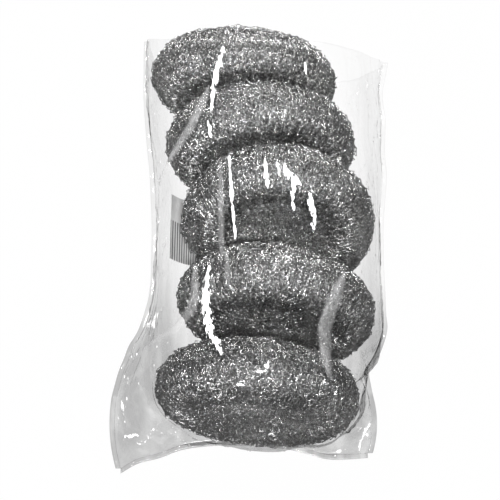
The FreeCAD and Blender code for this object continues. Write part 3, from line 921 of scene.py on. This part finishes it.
@dataclass
class Bag:
    """The polybag: a front and a back web of film, welded at both sides and across one end. Sizes in mm."""

    reach: float = 46.15
    middle: float = 46.3
    corner: float = 25.25
    inset: float = 6.0
    floor: float = 0.3
    lowest_weld: float = 0.4
    fin: float = 40.0
    fin_down: tuple[float, float] = (-97.0, -56.0)
    fin_waves: tuple[tuple[float, float, int], ...] = ((1.6, 8.5, 1), (1.1, 4.3, 2))
    weld: float = 2.4
    half_weld: float = 0.24
    rib: float = 0.04
    rib_turn: float = 1.7
    weld_haze: float = 0.05
    # A faint painted highlight along the welds
    weld_painted_highlight: float = 0.1
    film: float = 0.16
    shut: float = -76.0
    columns: int = 300
    rows: int = 108
    end_rows: int = 48
    mouth_end: float = 98.0
    mouth_slope: float = 0.665
    ear: float = 2.4
    ear_share: float = 0.05
    first_swell: tuple[float, float] = (-20.0, 1.5)
    last_swell: tuple[float, float] = (-7.0, 9.0)
    wire_gap: float = 0.6
    back_columns: int = 140
    back_rows: int = 100
    back_end_rows: int = 20
    creasing: Creasing = Creasing()
    lines: dict[str, np.ndarray] = field(default_factory=dict)

    # Places along and across the bag for its sides, the scourers' ways and its lower corners
    LEFT_EDGE = (
        (-92.0, -67.9), (-86.4, -68.0), (-81.6, -67.2), (-76.9, -65.9), (-72.2, -63.8), (-67.6, -61.6),
        (-63.0, -59.0), (-57.3, -56.8), (-50.5, -53.2), (-43.6, -50.5), (-36.6, -48.6), (-29.6, -48.0),
        (-15.4, -48.0), (-1.0, -48.3), (13.8, -48.9), (28.8, -50.0), (44.1, -51.8), (59.7, -53.4),
        (75.7, -54.4), (91.9, -54.9), (108.0, -55.2))
    RIGHT_EDGE = (
        (-92.0, 58.9), (-86.4, 58.1), (-81.6, 56.8), (-76.9, 55.1), (-72.2, 53.4), (-67.6, 52.4),
        (-63.0, 56.0), (-57.3, 58.7), (-50.5, 60.4), (-43.6, 60.3), (-29.6, 60.4), (-15.4, 60.6),
        (-1.0, 60.6), (13.8, 62.1), (28.8, 63.7), (44.1, 63.4), (59.7, 64.0), (75.7, 63.6),
        (85.0, 65.4), (95.0, 67.2), (108.0, 67.4))
    LEFT_WAY = ((36.0, 1.35), (62.0, -5.15))
    RIGHT_WAY = ((-68.0, 1.35), (-58.0, 9.85), (-25.0, 9.85), (-14.0, 11.15))
    LEFT_CORNER = ((34.2, -19.55), (60.4, -26.05))
    RIGHT_CORNER = ((-80.0, 25.0), (-61.0, 32.05))

    # Places across and along it for its ends, and the back web's brim by the share of the way across
    BOTTOM_EDGE = (
        (-62.0, -106.2), (-54.5, -101.7), (-44.0, -98.8), (-34.0, -95.0), (-22.0, -93.2), (0.0, -93.0),
        (15.0, -94.6), (26.0, -97.2), (33.0, -99.2), (44.0, -99.4), (53.0, -98.8))
    MOUTH_EDGE = ((-56.0, 106.2), (20.0, 106.2), (34.0, 104.5), (54.0, 97.5), (68.0, 92.5))
    BACK_BRIM = ((0.0, 106.2), (0.75, 104.0), (1.0, 92.5))

    def fin_height(self, side: Side, y: np.ndarray) -> np.ndarray:
        """Give the height of a side weld above the table, which it comes down to near the closed end.

        Args:
            side: Which side.
            y: Places along the bag.

        Returns:
            The heights.
        """
        height = self.fin * ease(*self.fin_down, y) + self.lowest_weld
        wave = sum(size * np.sin(y / long + shift * side.value) for size, long, shift in self.fin_waves)
        return height + wave * ease(-80, -50, y)

    def edge(self, side: Side, y: np.ndarray) -> tuple[np.ndarray, np.ndarray]:
        """Give where the film ends at a side weld.

        Args:
            side: Which side.
            y: Places along the bag.

        Returns:
            The places across and the heights.
        """
        line = self.LEFT_EDGE if side is Side.LEFT else self.RIGHT_EDGE
        x = even_curve(y, line)
        return x - side.value * self.weld, self.fin_height(side, y)

    def ways(self, y: np.ndarray) -> tuple[np.ndarray, np.ndarray]:
        """Give the leftmost and rightmost middle of the scourers that stand at y or pass it going out."""
        return straight_line(y, self.LEFT_WAY), straight_line(y, self.RIGHT_WAY)

    def wrapped(self, u: np.ndarray, y: np.ndarray, rolls: tuple[np.ndarray, np.ndarray],
                radius: np.ndarray | float, height: np.ndarray | float, way: int, slack: float) -> np.ndarray:
        """Lead a web from the left weld round two rolls to the right weld, straight in between.

        Args:
            u: Share of the way across, 0 at the left weld.
            y: Places along the bag.
            rolls: Where the left and the right roll lie across the bag.
            radius: The rolls' radius.
            height: The rolls' height.
            way: 1 to go over the rolls, -1 to go under them.
            slack: The least distance of a weld from a roll.

        Returns:
            Points.
        """
        left, right = rolls
        lx, lz = self.edge(Side.LEFT, y)
        rx, rz = self.edge(Side.RIGHT, y)
        peak = math.pi * (1 - way / 2)
        far_l = np.maximum(np.hypot(lx - left, lz - height), radius + slack)
        far_r = np.maximum(np.hypot(rx - right, rz - height), radius + slack)
        turn_l = np.arctan2(lz - height, lx - left) % FULL_TURN - way * np.arccos(radius / far_l)
        turn_r = np.arctan2(rz - height, rx - right) + way * np.arccos(radius / far_r)
        turn_r = (turn_r - peak + math.pi) % FULL_TURN + peak - math.pi
        spans = np.stack([
            np.sqrt(far_l**2 - radius**2), radius * way * (turn_l - peak), right - left,
            radius * way * (peak - turn_r), np.sqrt(far_r**2 - radius**2)])
        ends = np.cumsum(spans, 0)
        s = u * ends[-1]
        t = [(s - ends[i] + spans[i]) / np.maximum(spans[i], 1e-6) for i in range(5)]
        bend_l = turn_l + (peak - turn_l) * t[1]
        bend_r = peak + (turn_r - peak) * t[3]
        touch_l = (left + radius * np.cos(turn_l), height + radius * np.sin(turn_l))
        touch_r = (right + radius * np.cos(turn_r), height + radius * np.sin(turn_r))
        cases = [s <= ends[i] for i in range(4)]
        x = np.select(cases, [
            lx + (touch_l[0] - lx) * t[0], left + radius * np.cos(bend_l), left + (right - left) * t[2],
            right + radius * np.cos(bend_r)], touch_r[0] + (rx - touch_r[0]) * t[4])
        z = np.select(cases, [
            lz + (touch_l[1] - lz) * t[0], height + radius * np.sin(bend_l), height + way * radius + 0 * s,
            height + radius * np.sin(bend_r)], touch_r[1] + (rz - touch_r[1]) * t[4])
        return np.stack([x, y + 0 * x, z], -1)

    def arch(self, u: np.ndarray, y: np.ndarray) -> np.ndarray:
        """Place the front web, drawn over the row and straight down to the welds."""
        return self.wrapped(u, y, self.ways(y), self.reach, self.middle, way=1, slack=0.05)

    def trough(self, u: np.ndarray, y: np.ndarray) -> np.ndarray:
        """Place the back web, from the welds round the lower corners and along the table.

        Args:
            u: Share of the way across, 0 at the left weld.
            y: Places along the bag.

        Returns:
            Points.
        """
        lx, lz = self.edge(Side.LEFT, y)
        rx, rz = self.edge(Side.RIGHT, y)
        bend = np.minimum(self.corner, 0.8 * np.minimum(lz, rz) + 0.1)
        low = ease(self.fin_down[1], self.shut, y)
        left = straight_line(y, self.LEFT_CORNER) * (1 - low) + (lx + self.inset + bend) * low
        right = straight_line(y, self.RIGHT_CORNER) * (1 - low) + (rx - self.inset - bend) * low
        return self.wrapped(u, y, (left, right), bend, self.floor + bend, way=-1, slack=0.02)

    def bottom(self, u: np.ndarray) -> np.ndarray:
        """Give where the film ends at the bottom weld, on the table.

        Args:
            u: Share of the way across, 0 at the left weld.

        Returns:
            Points.
        """
        line = np.array(self.BOTTOM_EDGE)
        run = lengths(line, 0)
        share = run / run[-1]
        x, y = (even_curve(u, np.stack([share, places], -1)) for places in line.T)
        return np.stack([x, y + self.weld, self.lowest_weld + 0 * x], -1)

    def closing(self, start: np.ndarray, u: np.ndarray, t: np.ndarray, belly: float) -> np.ndarray:
        """Carry a web from its last full section to the bottom weld.

        Args:
            start: The last section's points.
            u: Share of the way across for each of them.
            t: Share of the way from the section to the weld, as a column.
            belly: How far the middle swells out past the weld, 0 for a flat web.

        Returns:
            Rows of points.
        """
        end = self.bottom(u)
        full = np.sqrt(np.clip(np.sin(math.pi * u), 0, 1)) * belly
        out = np.sign(u - 0.5) * self.ear * np.exp(-(np.minimum(u, 1 - u) / self.ear_share) ** 2)
        third = (end - start) / 3 * (1 - full[:, None])
        swells = [np.stack([out, back * full, up * full], -1)
                  for back, up in (self.first_swell, self.last_swell)]
        first = start + third + swells[0]
        last = end - third + swells[1]
        t = t[:, None, None]
        return ((1 - t) ** 3 * start + 3 * (1 - t) ** 2 * t * first + 3 * (1 - t) * t**2 * last + t**3 * end)

    def clear_of_scourers(self, points: np.ndarray, gap: float) -> np.ndarray:
        """Push points out of the scourers they lie in.

        Args:
            points: The film's points.
            gap: Room that is kept between film and wire.

        Returns:
            The points, moved where needed.
        """
        moved = points.copy()
        for scourer in SCOURERS:
            matrix = scourer.matrix()
            turn = np.array(matrix.to_3x3())
            place = np.array(matrix.translation) / MM
            local = (moved - place) @ turn
            out = np.hypot(local[..., 0], local[..., 1])
            side = out - scourer.ring
            depth = np.hypot(side, local[..., 2])
            need = np.clip(scourer.rim + gap - depth, 0, None)
            eye = (out < scourer.ring) & (np.abs(local[..., 2]) < scourer.rim + gap)
            lift = np.where(eye, scourer.rim + gap - np.abs(local[..., 2]), 0)
            unit = np.where(out > 1e-6, side / np.maximum(depth, 1e-6) / np.maximum(out, 1e-6), 0)
            local[..., 0] += np.where(eye, 0, need * unit * local[..., 0])
            local[..., 1] += np.where(eye, 0, need * unit * local[..., 1])
            rise = need * local[..., 2] / np.maximum(depth, 1e-6)
            local[..., 2] += np.where(eye, np.sign(local[..., 2]) * lift, rise)
            moved = local @ turn.T + place
        return moved

    def mouth(self, section: np.ndarray) -> np.ndarray:
        """Give how far along the mouth's edge lies over a section, further back where it is higher."""
        flat = even_curve(section[..., 0], self.MOUTH_EDGE)
        return flat - self.mouth_slope * (section[..., 2] - self.fin)

    def web(self, u: np.ndarray, brim: np.ndarray, place: Callable[[np.ndarray, np.ndarray], np.ndarray],
            rows: tuple[int, int], belly: float) -> np.ndarray:
        """Lay a web out from the mouth to the bottom weld.

        Args:
            u: Share of the way across for each column.
            brim: Where the web ends at the mouth.
            place: Gives the web's points, from u and the place along the bag.
            rows: How many rows there are before the closed end and in it.
            belly: How far the closed end swells out.

        Returns:
            Rows of points.
        """
        along = brim[None, :] + (self.shut - brim[None, :]) * np.linspace(0, 1, rows[0])[:, None]
        main = place(np.broadcast_to(u, along.shape), along)
        tail = self.closing(main[-1], u, np.linspace(0, 1, rows[1])[1:], belly)
        return np.concatenate([main, tail])

    def front(self, finish: Material) -> Object:
        """Make the front web.

        Args:
            finish: The film's material.

        Returns:
            The piece.
        """
        u = np.linspace(0, 1, self.columns)
        brim = self.mouth(self.arch(u, np.full(u.shape, self.mouth_end)))
        points = self.web(u, brim, self.arch, (self.rows, self.end_rows), 1.0)
        points = self.clear_of_scourers(points, self.wire_gap)
        return self.sheet("film_front", points, u, finish, FOLDS, True)

    def back(self, finish: Material) -> Object:
        """Make the back web.

        Args:
            finish: The film's material.

        Returns:
            The piece.
        """
        u = np.linspace(0, 1, self.back_columns)
        brim = straight_line(u, self.BACK_BRIM)
        points = self.web(u, brim, self.trough, (self.back_rows, self.back_end_rows), 0.0)
        points[..., 2] = np.maximum(points[..., 2], self.floor)
        return self.sheet("film_back", points, u, finish, (), False)

    def crumple(self, points: np.ndarray, across: np.ndarray, run: np.ndarray, u: np.ndarray,
                folds: tuple[Fold, ...], front: bool) -> tuple[np.ndarray, dict[str, np.ndarray]]:
        """Work out a web's creases.

        Args:
            points: The smooth web.
            across: Length over the web from its left edge to each point.
            run: Length over the web from the mouth to each point.
            u: Share of the way across for each column.
            folds: The creases pressed into it.
            front: True for the upper web, whose creases rise, False for the lower, whose creases go inwards.

        Returns:
            How far each point rises, and the marks for the finish: milky haze, painted highlight and painted
            shade.
        """
        c = self.creasing
        x, y, z = points[..., 0], points[..., 1], points[..., 2]
        slack = 1 - ease(50, 88, z) if front else ease(2, 9, z) * ease(0, 0.04, np.minimum(u, 1 - u))[None, :]
        seed = 7 if front else 31
        long_lines = creases(rumple(across, run, seed, c.long_wave), 0.12)
        slant_lines = creases(rumple(across + 0.5 * run, run - 0.4 * across, seed + 1, c.slant_wave), 0.07)
        soft = 0.5 + 0.5 * np.tanh(rumple(across, run, seed + 3, c.soft_wave))
        cloud = np.clip(rumple(across, run, seed + 4, c.cloud_wave), 0, 2)
        cloud = cloud * creases(rumple(across, run, seed + 5, c.fleck_wave), 0.5)
        rise = ((c.long_rise[0] + c.long_rise[1] * slack) * long_lines
                + (c.slant_rise[0] + c.slant_rise[1] * slack) * slant_lines + c.soft_rise * slack * soft)
        haze = ((c.long_haze[0] + c.long_haze[1] * slack) * long_lines
                + (c.slant_haze[0] + c.slant_haze[1] * slack) * slant_lines + c.cloud_haze * slack * cloud)
        haze = haze * (1 - 0.85 * ease(-78, -90, y) * (1 - ease(28, 46, np.abs(x - 1.35))))
        # Painted highlight along the crease lines and the folds
        painted_highlight = slack * (c.slant_painted_highlight * slant_lines + c.long_painted_highlight * long_lines + c.cloud_painted_highlight * cloud)
        for fold in folds:
            near = fold.nearness(x, y) * ease(fold.above, fold.above + 40, z)
            rise = rise + fold.rise * near
            haze = np.maximum(haze, fold.haze * ease(0.25, 0.5, near))
            painted_highlight = np.maximum(painted_highlight, fold.painted_highlight * near)
        if not front:
            rise = -c.inwards * rise * slack
        # Tint and painted shade: darker on the left, at the right near the mouth and most towards the closed
        # end,
        # for film doubled over and for shade over the lower scourers
        shade = 0.2 * ease(0, -48, x) + 0.2 * ease(20, 60, x) * ease(60, 0, y) + 0.9 * ease(-20, -80, y)
        shade = shade * slack * (0.55 + 0.75 * soft) + 0.45 * ease(-20, -75, y)
        return rise, {"haze": np.clip(haze, 0, 1), "painted_highlight": painted_highlight, "tint_and_painted_shade": np.clip(shade, 0, 1)}

    def sheet(self, name: str, points: np.ndarray, u: np.ndarray, finish: Material,
              folds: tuple[Fold, ...], front: bool) -> Object:
        """Crease a web, give it its thickness and dress it.

        Args:
            name: The piece's name.
            points: The smooth web.
            u: Share of the way across for each column.
            finish: The film's material.
            folds: The creases pressed into it.
            front: True for the upper web, whose creases rise, False for the lower, whose creases go inwards.

        Returns:
            The piece.
        """
        across = lengths(points, 1)
        run = lengths(points, 0)
        rise, marks = self.crumple(points, across, run, u, folds, front)
        rim = ease(0.0, 0.03, np.minimum(u, 1 - u))[None, :] * ease(0, 6, run[-1] - run)
        points = points + grid_normals(points) * (rise * rim)[..., None]
        points[..., 2] = np.maximum(points[..., 2], self.floor - 0.1)
        obj = add_object(name, grid_mesh(name, points, marks))
        obj.data.materials.append(finish)
        wall = obj.modifiers.new("thickness", "SOLIDIFY")
        wall.thickness = self.film * MM
        wall.offset = 0.0
        settle(obj)
        node = "bag_front_film" if front else "bag_back_film"
        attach(obj, "bag")
        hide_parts(node)
        self.lines[name] = points
        return obj

    def strip(self, name: str, node: str, inner: np.ndarray, out: np.ndarray,
              finish: Material) -> Object:
        """Make a weld: a flat band along the film's edge, ribbed by the jaws that pressed it.

        Args:
            name: The piece's name.
            node: The weld it stands for.
            inner: The film's edge.
            out: The way from the film's edge to the weld's outer edge.
            finish: The weld's material.

        Returns:
            The piece.
        """
        share = np.array([-0.01, 0.25, 0.6, 1.0, 1.0, 0.6, 0.25, -0.01])
        level = np.array([0.14, 0.2, 0.2, 0.12, -0.12, -0.2, -0.2, -0.14])
        count = len(inner)
        rib = self.rib * np.sin(np.arange(count) * self.rib_turn)[:, None] * (np.abs(level) > 0.15)
        ring = inner[:, None, :] + out * share[None, :, None]
        ring[..., 2] = np.maximum(ring[..., 2], self.half_weld) + level + rib * np.sign(level)
        mesh = bpy.data.meshes.new(name)
        mesh.from_pydata((ring.reshape(-1, 3) * MM).tolist(), [], capped_faces(count, len(share)))
        shaped = bmesh.new()
        shaped.from_mesh(mesh)
        bmesh.ops.recalc_face_normals(shaped, faces=shaped.faces)
        shaped.to_mesh(mesh)
        shaped.free()
        # Painted shade: darker on the left and towards the closed end, as on the film
        shade = 0.2 * ease(0, -48, ring[..., 0]) + 0.9 * ease(-20, -80, ring[..., 1])
        even = np.ones(shade.shape)
        # A little milky haze and a faint painted highlight all along the weld
        mark_points(mesh, {"haze": self.weld_haze * even, "painted_highlight": self.weld_painted_highlight * even,
                           "tint_and_painted_shade": np.clip(shade, 0, 1)})
        mesh.shade_smooth()
        mesh.materials.append(finish)
        obj = add_object(name, mesh)
        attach(obj, "bag")
        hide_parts(node)
        log.info("%s: %d faces", name, len(mesh.polygons))
        return obj

    def build(self, film: Material, seal: Material) -> list[Object]:
        """Make the two webs and the three welds.

        Args:
            film: The film's material.
            seal: The welds' material.

        Returns:
            The pieces.
        """
        front = self.front(film)
        back = self.back(film)
        edges = self.lines["film_front"]
        welds = (("left", edges[:, 0], (-self.weld, 0, 0)), ("right", edges[:, -1], (self.weld, 0, 0)),
                 ("bottom", edges[-1], (0, -self.weld, 0)))
        return [front, back] + [self.strip(f"weld_{side}", f"bag_{side}_weld", edge, np.array(out), seal)
                                for side, edge, out in welds]


# The studio


@dataclass(frozen=True)
class Lamp:
    """A square area lamp: its way from the middle of the pack, its power in watts and its side in metres."""

    name: str
    way: tuple[float, float, float]
    power: float
    size: float


LAMPS = (
    Lamp("lamp_behind", (-0.06, 0.72, 0.68), 8.0, 0.2),
    Lamp("lamp_left", (-0.45, 0.95, 0.35), 7.0, 0.16),
    Lamp("lamp_right", (0.45, 0.95, 0.35), 7.0, 0.16),
    Lamp("lamp_front", (0.02, -0.4, 0.78), 12.0, 0.08),
    Lamp("lamp_low", (-0.25, -0.85, 0.3), 7.5, 0.05),
)


@dataclass
class Studio:
    """A white table, lamps round the pack and the camera that looks down on it. Sizes in metres."""

    target: tuple[float, float, float] = (-0.00195, -0.01216, 0.044)
    distance: float = 0.65
    elevation: float = 65.0
    lens: float = 100.87
    sky: float = 0.48
    white: float = 0.95
    glow: float = 1.03
    bounce: float = 0.14

    def camera(self) -> None:
        """Set the camera up."""
        data = bpy.data.cameras.new("camera")
        data.lens = self.lens
        data.sensor_width = 36.0
        data.clip_start = 0.01
        obj = add_object("camera", data)
        rise = math.radians(self.elevation)
        away = Vector((0, -math.cos(rise), math.sin(rise))) * self.distance
        obj.location = Vector(self.target) + away
        obj.rotation_euler = (math.pi / 2 - rise, 0, 0)
        bpy.context.scene.camera = obj

    def hang(self, lamp: Lamp) -> None:
        """Hang a lamp that points at the pack.

        Args:
            lamp: The lamp.
        """
        data = bpy.data.lights.new(lamp.name, "AREA")
        data.energy = lamp.power
        data.size = lamp.size
        obj = add_object(lamp.name, data)
        obj.location = Vector(self.target) + Vector(lamp.way)
        obj.rotation_euler = (-Vector(lamp.way)).to_track_quat("-Z", "Y").to_euler()

    def seen(self, tree: NodeTree) -> Term:
        """Give, in a node tree, 1 for a ray that comes straight from the camera and 0 for any other."""
        return Term(tree, tree.nodes.new("ShaderNodeLightPath").outputs["Is Camera Ray"])

    def table(self) -> None:
        """Lay the white table top."""
        s = Shading("table_top")
        plain = s.node("ShaderNodeBsdfDiffuse", Color=grey(self.bounce))
        bright = s.node("ShaderNodeEmission", Color=grey(1.0), Strength=self.glow)
        material = s.finish(s.mix(self.seen(s.tree) * self.white, plain, bright))
        mesh = bpy.data.meshes.new("table_top")
        mesh.from_pydata([(-4, -4, 0), (4, -4, 0), (4, 4, 0), (-4, 4, 0)], [], [(0, 1, 2, 3)])
        mesh.materials.append(material)
        add_object("table_top", mesh)

    def sky_light(self) -> None:
        """Light the room evenly, and show it white."""
        world = bpy.data.worlds.new("room")
        bpy.context.scene.world = world
        world.use_nodes = True
        room = Nodes(world.node_tree)
        dim, white = (room.node("ShaderNodeBackground", Color=grey(1.0), Strength=level)
                      for level in (self.sky, 1.0))
        mixed = room.mix(self.seen(room.tree), dim, white)
        room.node("ShaderNodeOutputWorld", Surface=mixed.outputs[0])

    def build(self) -> None:
        """Set the whole studio up."""
        self.camera()
        self.table()
        self.sky_light()
        for lamp in LAMPS:
            self.hang(lamp)
        bpy.context.scene.view_settings.view_transform = "Standard"


SCOURERS = (
    Scourer(1, 100.0, -3.6),
    Scourer(2, 88.0, 0.1),
    Scourer(3, 71.0, -2.9),
    Scourer(4, 87.0, -7.7),
    Scourer(5, 91.0, -5.1),
)


def main() -> None:
    """Build the studio, the scourers, the bag and the label, in that order."""
    logging.basicConfig(level=logging.INFO, format="%(message)s")
    Studio().build()
    wire = WireFinish().material()
    packed = PackedWireFinish().material()
    ring_knit = KnitTree(KnitForm.RING, wire)
    dish_knit = KnitTree(KnitForm.DISH, wire)
    for scourer in SCOURERS:
        scourer.build(ring_knit, dish_knit, wire, packed)
    film = FilmFinish().material()
    seal = FilmFinish(name="welded_film", shaded=0.7, clear=0.98).material()
    Bag().build(film, seal)
    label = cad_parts["back_label"]
    label.data.materials.clear()
    label.data.materials.append(PaperFinish().material())
    log.info("back_label dressed")
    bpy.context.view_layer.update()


if __name__ == "__main__":
    main()
